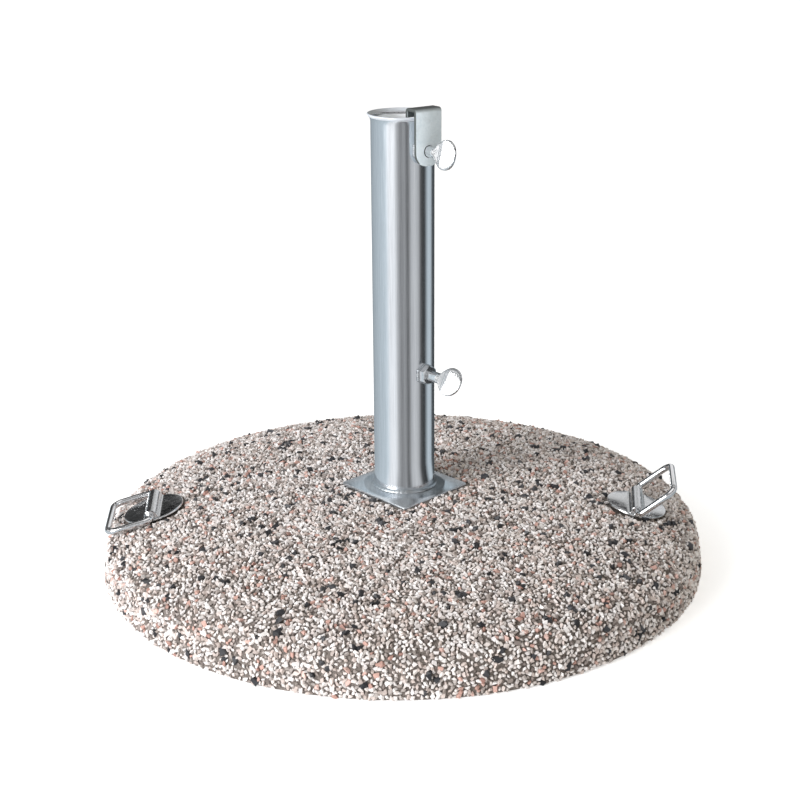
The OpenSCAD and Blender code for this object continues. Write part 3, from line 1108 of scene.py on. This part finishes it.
def spadeHead(place):
    seat = screwSize["neckSeat"]
    end = seat + screwSize["neckLength"]
    centre = screwSize["spadeCentre"]
    big = screwSize["spadeRadius"]
    neck = screwSize["neckRadius"]
    thin = screwSize["spadeThickness"] / 2
    stations = [seat, seat + 0.35, seat + 0.8, end - 8, end - 4]
    stations += [end - 2 + 0.4 * i for i in range(20)]
    stations += [centre - 9 + 0.3 * i for i in range(73)]
    stations += [centre + big * math.sin(math.radians(a)) for a in (69, 73, 77, 80, 83, 86, 88.5)]
    rings = []
    for z in sorted(stations):
        t = min(1, max(0, (z - end) / screwSize["blend"]))
        ease = t * t * (3 - 2 * t)
        disc = math.sqrt(max(0, big ** 2 - (z - centre) ** 2))
        shank = neck * (1 - ease)
        softness = 1.5 * (1 - ease) if z > end else 0
        wide = (shank + disc + math.hypot(shank - disc, softness)) / 2 if z > end - 0.01 else neck
        rimmed = max(0, (z - centre) / big)
        half = (neck + (thin - neck) * ease) * (1 - rimmed ** 9) ** 0.5
        # grip ridges across the flats
        flat = ease * min(1, max(0, (disc - 4) / 4))
        phase = (z - centre) * 2 * math.pi / screwSize["gripPitch"]
        half -= screwSize["gripDepth"] * flat * (1 - math.cos(phase))
        if z < seat + 0.2:
            wide -= 0.35
            half -= 0.35
        power = 2 + 3 * ease
        ring = []
        for j in range(56):
            a = 2 * math.pi * j / 56
            c = math.cos(a)
            s = math.sin(a)
            x = wide * math.copysign(abs(c) ** (2 / power), c)
            y = half * math.copysign(abs(s) ** (2 / power), s)
            ring.append((x, y, z))
        rings.append(ring)
    return addObject("head", *loft(rings), place)


for side, screw in screws.items():
    place = screwFrames[side]
    stud = threadedStud(screw["thread"], place)
    finishPiece(
        stud, f"{side}_threaded_stud", brightZinc,
        body=f"{side}_stud", node=f"{side}_screw_stud", sharpAngle=30,
    )
    head = spadeHead(place @ Matrix.Rotation(math.radians(screw["turn"]), 4, "Z"))
    azimuth = math.radians(screw["azimuth"])
    # painted shade for the spade's grip grooves: where they lie, how dark they are drawn and their colour
    ridgeShade = {
        "direction": (math.cos(azimuth), math.sin(azimuth), 0),
        "pitch": screwSize["gripPitch"] / 1000,
        "centre": screwSize["spadeCentre"] / 1000,
        "start": screwSize["gripStart"] / 1000,
        "depth": 0.55,
        "color": (0.16, 0.17, 0.19),
    }
    spadeZinc = metalMaterial(f"{side}Spade", zincLook, ridgeShade=ridgeShade)
    finishPiece(
        head, f"{side}_spade", spadeZinc,
        body=f"{side}_head", node=f"{side}_screw_head", sharpAngle=50,
    )

# Bracket: flat strap bent over the rim, with a narrow tongue inside
bracketSize = {
    "width": 30,
    "thickness": 3,
    "outerLeg": 38.8,
    "innerLeg": 26,
    "top": 456.5,
    "end": 405,
    "endRadius": 13,
    "bendRadius": 2.1,
    "tongue": 11,
    "shoulder": 449.2,
    "hole": 5.75,
    "edgeRadius": 0.45,
}


def strapRings():
    end = bracketSize["end"]
    endR = bracketSize["endRadius"]
    bend = bracketSize["bendRadius"]
    top = bracketSize["top"]
    wide = bracketSize["width"] / 2
    outer = bracketSize["outerLeg"]
    inner = bracketSize["innerLeg"]
    # radius, height, half width and outward direction at each station along the strap
    stations = []
    for height, halfWidth in arc(end + endR, wide - endR, endR, 180, 90, 12):
        stations.append((outer, height, halfWidth, (1, 0)))
    stations += [(outer, height, wide, (1, 0)) for height in (426, 434, 442, 449)]
    for x, start in ((outer - bend, 0), (inner + bend, 90)):
        for i in range(9):
            a = math.radians(start + 90 * i / 8)
            direction = (math.cos(a), math.sin(a))
            stations.append((x + bend * direction[0], top - bend + bend * direction[1], wide, direction))
    tongue = bracketSize["tongue"] / 2
    shoulder = bracketSize["shoulder"]
    hanging = [(shoulder, wide), (shoulder - 0.01, tongue), (430, tongue)]
    hanging += [(end + 2, tongue), (end, tongue - 1.5)]
    stations += [(inner, height, halfWidth, (-1, 0)) for height, halfWidth in hanging]
    rings = []
    thick = bracketSize["thickness"] / 2
    soft = bracketSize["edgeRadius"]
    for r, z, w, (nr, nz) in stations:
        ring = []
        corners = [(1, 1, 0), (-1, 1, 90), (-1, -1, 180), (1, -1, 270)]
        for sx, sy, begin in corners:
            for u, v in arc(sx * (w - soft), sy * (thick - soft), soft, begin, begin + 90, 3):
                ring.append((r + nr * v, u, z + nz * v))
        rings.append(ring)
    return rings


bracketTurn = Matrix.Rotation(math.radians(screws["upper"]["azimuth"]), 4, "Z")
bracket = addObject("bracket", *loft(strapRings()), bracketTurn)
combine(bracket, rod(bracketSize["hole"], 8, screwFrames["upper"], 35), "DIFFERENCE")
# painted shade: the tongue inside the tube, and the top the more it faces up, are darkened; the cut edges are
# darkened as bare steel and as painted shade
across = bracketTurn.to_3x3() @ Vector((0, 1, 0))
shadeAndBareEdge = bracket.data.attributes.new("shadeAndBareEdge", "FLOAT", "FACE")
for face in bracket.data.polygons:
    inner = math.hypot(face.center.x, face.center.y) < 30 and face.center.z < 455
    edge = abs(face.normal.dot(across)) > 0.6
    shadeAndBareEdge.data[face.index].value = 0.96 if inner or edge else 0.93 * max(0, face.normal.z)
finishPiece(bracket, "rim_bracket", galvanisedSteel, node="clamp_bracket", sharpAngle=40)
print("screws and bracket made")

# Handle plates: pressed disc with a saddle over the ring's pivot
handleSize = {
    "thickness": 2.5,
    "saddleLength": 56,
    "saddleRadius": 6.6,
    "pivot": 4.4,
    "rod": 3.25,
    "reach": 44,
    "halfWidth": 36,
    "pivotBend": 7,
    "endBend": 10,
}


def handlePlate(place):
    thick = handleSize["thickness"]
    big = handleDisc / 2
    disc = [(0, 0), (big - 0.5, 0), (big, 0.5), (big, thick - 0.8)]
    disc += [(big - 0.25, thick - 0.25), (big - 0.9, thick), (0, thick)]
    piece = addObject("disc", *spin(disc, 96))
    saddleR = handleSize["saddleRadius"]
    pivot = handleSize["pivot"]
    foot = saddleR + 2.4
    outline = [(foot, 0.4)] + arc(foot, thick + 2.2, 2.2, -90, -180, 5) + arc(0, pivot, saddleR, 4, 176, 22)
    outline += arc(-foot, thick + 2.2, 2.2, 0, -90, 5) + [(-foot, 0.4)]
    length = handleSize["saddleLength"] / 2
    rings = []
    for y, shrink in ((-length, 0.5), (-length + 0.5, 0), (length - 0.5, 0), (length, 0.5)):
        rings.append([(x - math.copysign(shrink * 0.6, x), y, max(0.4, z - shrink)) for x, z in outline])
    combine(piece, addObject("saddle", *loft(rings)), "UNION")
    across = Matrix.Translation((0, -40, pivot)) @ Matrix.Rotation(-math.pi / 2, 4, "X")
    combine(piece, rod(handleSize["rod"] + 0.1, 80, across), "DIFFERENCE")
    piece.data.transform(place)
    return piece


def liftRing(place, angle):
    reach = handleSize["reach"]
    half = handleSize["halfWidth"]
    near = handleSize["pivotBend"]
    far = handleSize["endBend"]
    path = []
    corners = [
        (reach - far, half - far, 0, far),
        (near, half - near, 90, near),
        (near, near - half, 180, near),
        (reach - far, far - half, 270, far),
    ]
    for x, y, start, bend in corners:
        for i in range(13):
            a = math.radians(start + 90 * i / 12)
            direction = Vector((math.cos(a), math.sin(a), 0))
            path.append((Vector((x, y, 0)) + direction * bend, direction))
    rings = []
    for spot, direction in path:
        ring = []
        for u, v in arc(0, 0, handleSize["rod"], 0, 348.75, 31):
            ring.append(spot + direction * u + Vector((0, 0, v)))
        rings.append(ring)
    lifted = Matrix.Translation((0, 0, handleSize["pivot"])) @ Matrix.Rotation(math.radians(-angle), 4, "Y")
    return addObject("ring", *loft(rings, closed=True), place @ lifted)


for side, handle in handles.items():
    pressed = handlePlate(handleFrames[side])
    finishPiece(
        pressed, f"{side}_plate_pressed", platedSteel,
        node=f"{side}_handle_plate", sharpAngle=32,
    )
    ring = liftRing(handleFrames[side], handle["ringAngle"])
    finishPiece(
        ring, f"{side}_ring_rod", polishedChrome,
        body=f"{side}_ring", node=f"{side}_lift_ring",
    )
print("handles made")

# Studio: pale floor, a soft key from the left front, and a sky that is even but for reflections
studio = {
    "floorColor": (0.90, 0.90, 0.90),
    "floorMirrored": (0.50, 0.56, 0.60),
    "floorGlow": 0.5,
    "skyStrength": 0.86,
    "keyPower": 84,
    "keySize": 1.5,
    "keyPlace": (-2.0, -1.65, 1.1),
    "skyLeft": (0.97, 1.0, 1.06),
    "skyRight": (0.56, 0.51, 0.40),
}
floor = addObject("floor", [(-9, -9, 0), (9, -9, 0), (9, 9, 0), (-9, 9, 0)], [(0, 1, 2, 3)])
floorMaterial, tree, shader = newMaterial("floor")
paper = clouds(tree, objectCoords(tree), 3, 3)
tree.links.new(remap(tree, paper, 0, 1, 0.7, 0.9), shader.inputs["Roughness"])
mirrored = addNode(tree, "ShaderNodeLightPath").outputs["Is Glossy Ray"]
floorTone = mixColor(tree, mirrored, studio["floorColor"], studio["floorMirrored"])
tree.links.new(floorTone, shader.inputs["Base Color"])
tree.links.new(remap(tree, mirrored, 0, 1, studio["floorGlow"], 0), shader.inputs["Emission Strength"])
shader.inputs["Emission Color"].default_value = (1, 1, 1, 1)
floor.data.materials.append(floorMaterial)

world = bpy.data.worlds.new("studio")
scene.world = world
world.use_nodes = True
background = world.node_tree.nodes["Background"]
background.inputs["Strength"].default_value = studio["skyStrength"]
# polished steel sees a banded sky, everything else an even one
skyTree = world.node_tree
direction = addNode(skyTree, "ShaderNodeTexCoord")
upness = addNode(skyTree, "ShaderNodeSeparateXYZ", {0: direction.outputs["Generated"]})
zones = [
    (0, (0.8, 0.8, 0.8)),
    (0.02, (0.03, 0.03, 0.035)),
    (0.12, (0.03, 0.03, 0.035)),
    (0.15, (1.1, 1.12, 1.15)),
    (0.40, (1.0, 1.0, 1.0)),
    (0.43, (0.02, 0.02, 0.025)),
    (0.6, (0.02, 0.02, 0.025)),
    (0.63, (1.5, 1.5, 1.5)),
    (0.69, (1.5, 1.5, 1.5)),
    (0.71, (0.03, 0.03, 0.035)),
    (0.86, (0.03, 0.03, 0.035)),
    (0.9, (1.2, 1.2, 1.2)),
]
banded = ramp(skyTree, upness.outputs["Z"], zones)
# a dark flag at the back left
flag = remap(skyTree, upness.outputs["X"], -0.2, -0.1, 0.06, 1)
flagged = addNode(skyTree, "ShaderNodeVectorMath", {0: banded, "Scale": flag}, operation="SCALE")
behind = remap(skyTree, upness.outputs["Y"], 0.3, 0.5, 0, 1)
banded = mixColor(skyTree, behind, banded, flagged.outputs[0])
sideways = remap(skyTree, upness.outputs["X"], -0.6, 0.7, 0, 1)
even = mixColor(skyTree, sideways, studio["skyLeft"], studio["skyRight"])
fade = remap(skyTree, upness.outputs["Z"], 0, 1, 1.15, 0.6)
backLift = remap(skyTree, upness.outputs["Y"], -1, 1, 0.95, 1.4)
level = calc(skyTree, "MULTIPLY", fade, backLift)
faded = addNode(skyTree, "ShaderNodeVectorMath", {0: even, "Scale": level}, operation="SCALE")
even = faded.outputs[0]
rays = addNode(skyTree, "ShaderNodeLightPath")
skyColor = mixColor(skyTree, rays.outputs["Is Glossy Ray"], even, banded)
skyColor = mixColor(skyTree, rays.outputs["Is Camera Ray"], skyColor, (1.4, 1.4, 1.4))
skyTree.links.new(skyColor, background.inputs["Color"])

keyLight = bpy.data.lights.new("key", "AREA")
keyLight.energy = studio["keyPower"]
keyLight.size = studio["keySize"]
key = bpy.data.objects.new("key", keyLight)
key.location = studio["keyPlace"]
key.rotation_euler = (Vector((0, 0, 0.12)) - key.location).to_track_quat("-Z", "Y").to_euler()
scene.collection.objects.link(key)

# Surround that only reflections see: pale walls with dark gaps between them
surround = {
    "outline": [(0.041, 0.0785), (0.06, 0.0925), (0.06, 0.47)],
    "cool": (0.80, 0.92, 1.0),
    "neutral": (0.94, 0.97, 1.0),
    "bands": [
        (0, 0.7), (0.027, 0.76), (0.063, 0.82), (0.095, 0.84), (0.126, 1.12), (0.184, 1.22),
        (0.206, 0.6), (0.232, 0.31), (0.261, 0.46), (0.284, 0.14), (0.312, 0.68), (0.338, 0.8),
        (0.369, 0.62), (0.392, 0.1), (0.432, 0.04), (0.45, 0.45), (0.473, 0.85), (0.51, 0.8),
        (0.543, 0.08), (0.625, 0.1), (0.885, 0.45), (0.98, 0.66), (1, 0.7),
    ],
}
walls = []
for r, z in surround["outline"]:
    walls.append([(x, y, z) for x, y in arc(0, 0, r, 0, 356.25, 95)])
wallPoints, wallFaces = loft(walls)
surroundObject = bpy.data.objects.new("surround", bpy.data.meshes.new("surround"))
surroundObject.data.from_pydata(wallPoints, [], [face[::-1] for face in wallFaces[:-2]])
scene.collection.objects.link(surroundObject)
surroundMaterial = bpy.data.materials.new("surround")
surroundMaterial.use_nodes = True
tree = surroundMaterial.node_tree
tree.nodes.remove(tree.nodes["Principled BSDF"])
axes = addNode(tree, "ShaderNodeSeparateXYZ", {0: objectCoords(tree)})
turn = calc(tree, "ARCTAN2", axes.outputs["Y"], axes.outputs["X"])
position = remap(tree, turn, -math.pi, math.pi, 0, 1)
bands = [(p, (b, b, b)) for p, b in surround["bands"]]
bandColor = ramp(tree, position, bands)
tints = [(0, surround["cool"]), (0.11, surround["cool"]), (0.14, surround["neutral"])]
tints += [(0.4, surround["neutral"]), (0.45, surround["cool"])]
tinted = mixColor(tree, 1.0, bandColor, ramp(tree, position, tints), "MULTIPLY")
glow = addNode(tree, "ShaderNodeEmission", {"Color": tinted})
tree.links.new(glow.outputs[0], tree.nodes["Material Output"].inputs["Surface"])
surroundObject.data.materials.append(surroundMaterial)

# Dark card behind the rim, also only for reflections
corners = [(-0.09, 0.1, 0.485), (0.06, 0.1, 0.485), (0.06, 0.1, 0.56), (-0.09, 0.1, 0.56)]
card = addObject("card", corners, [(0, 1, 2, 3)])
cardMaterial, tree, shader = newMaterial("card")
shader.inputs["Base Color"].default_value = (0.02, 0.02, 0.02, 1)
card.data.materials.append(cardMaterial)
for reflector in (surroundObject, card):
    reflector.visible_camera = False
    reflector.visible_diffuse = False
    reflector.visible_shadow = False
    reflector.visible_transmission = False

view = {
    "lens": 68.87,
    "shift": -0.075,
    "place": (0, -1.43778, 0.66805),
    "angles": (70.7143, -0.3695, -2.0868),
}
cameraData = bpy.data.cameras.new("camera")
cameraData.sensor_width = 36
cameraData.lens = view["lens"]
cameraData.shift_x = view["shift"]
cameraData.dof.use_dof = False
camera = bpy.data.objects.new("camera", cameraData)
camera.location = view["place"]
camera.rotation_euler = [math.radians(a) for a in view["angles"]]
scene.collection.objects.link(camera)
scene.camera = camera
scene.view_settings.view_transform = "Standard"
print("studio set")
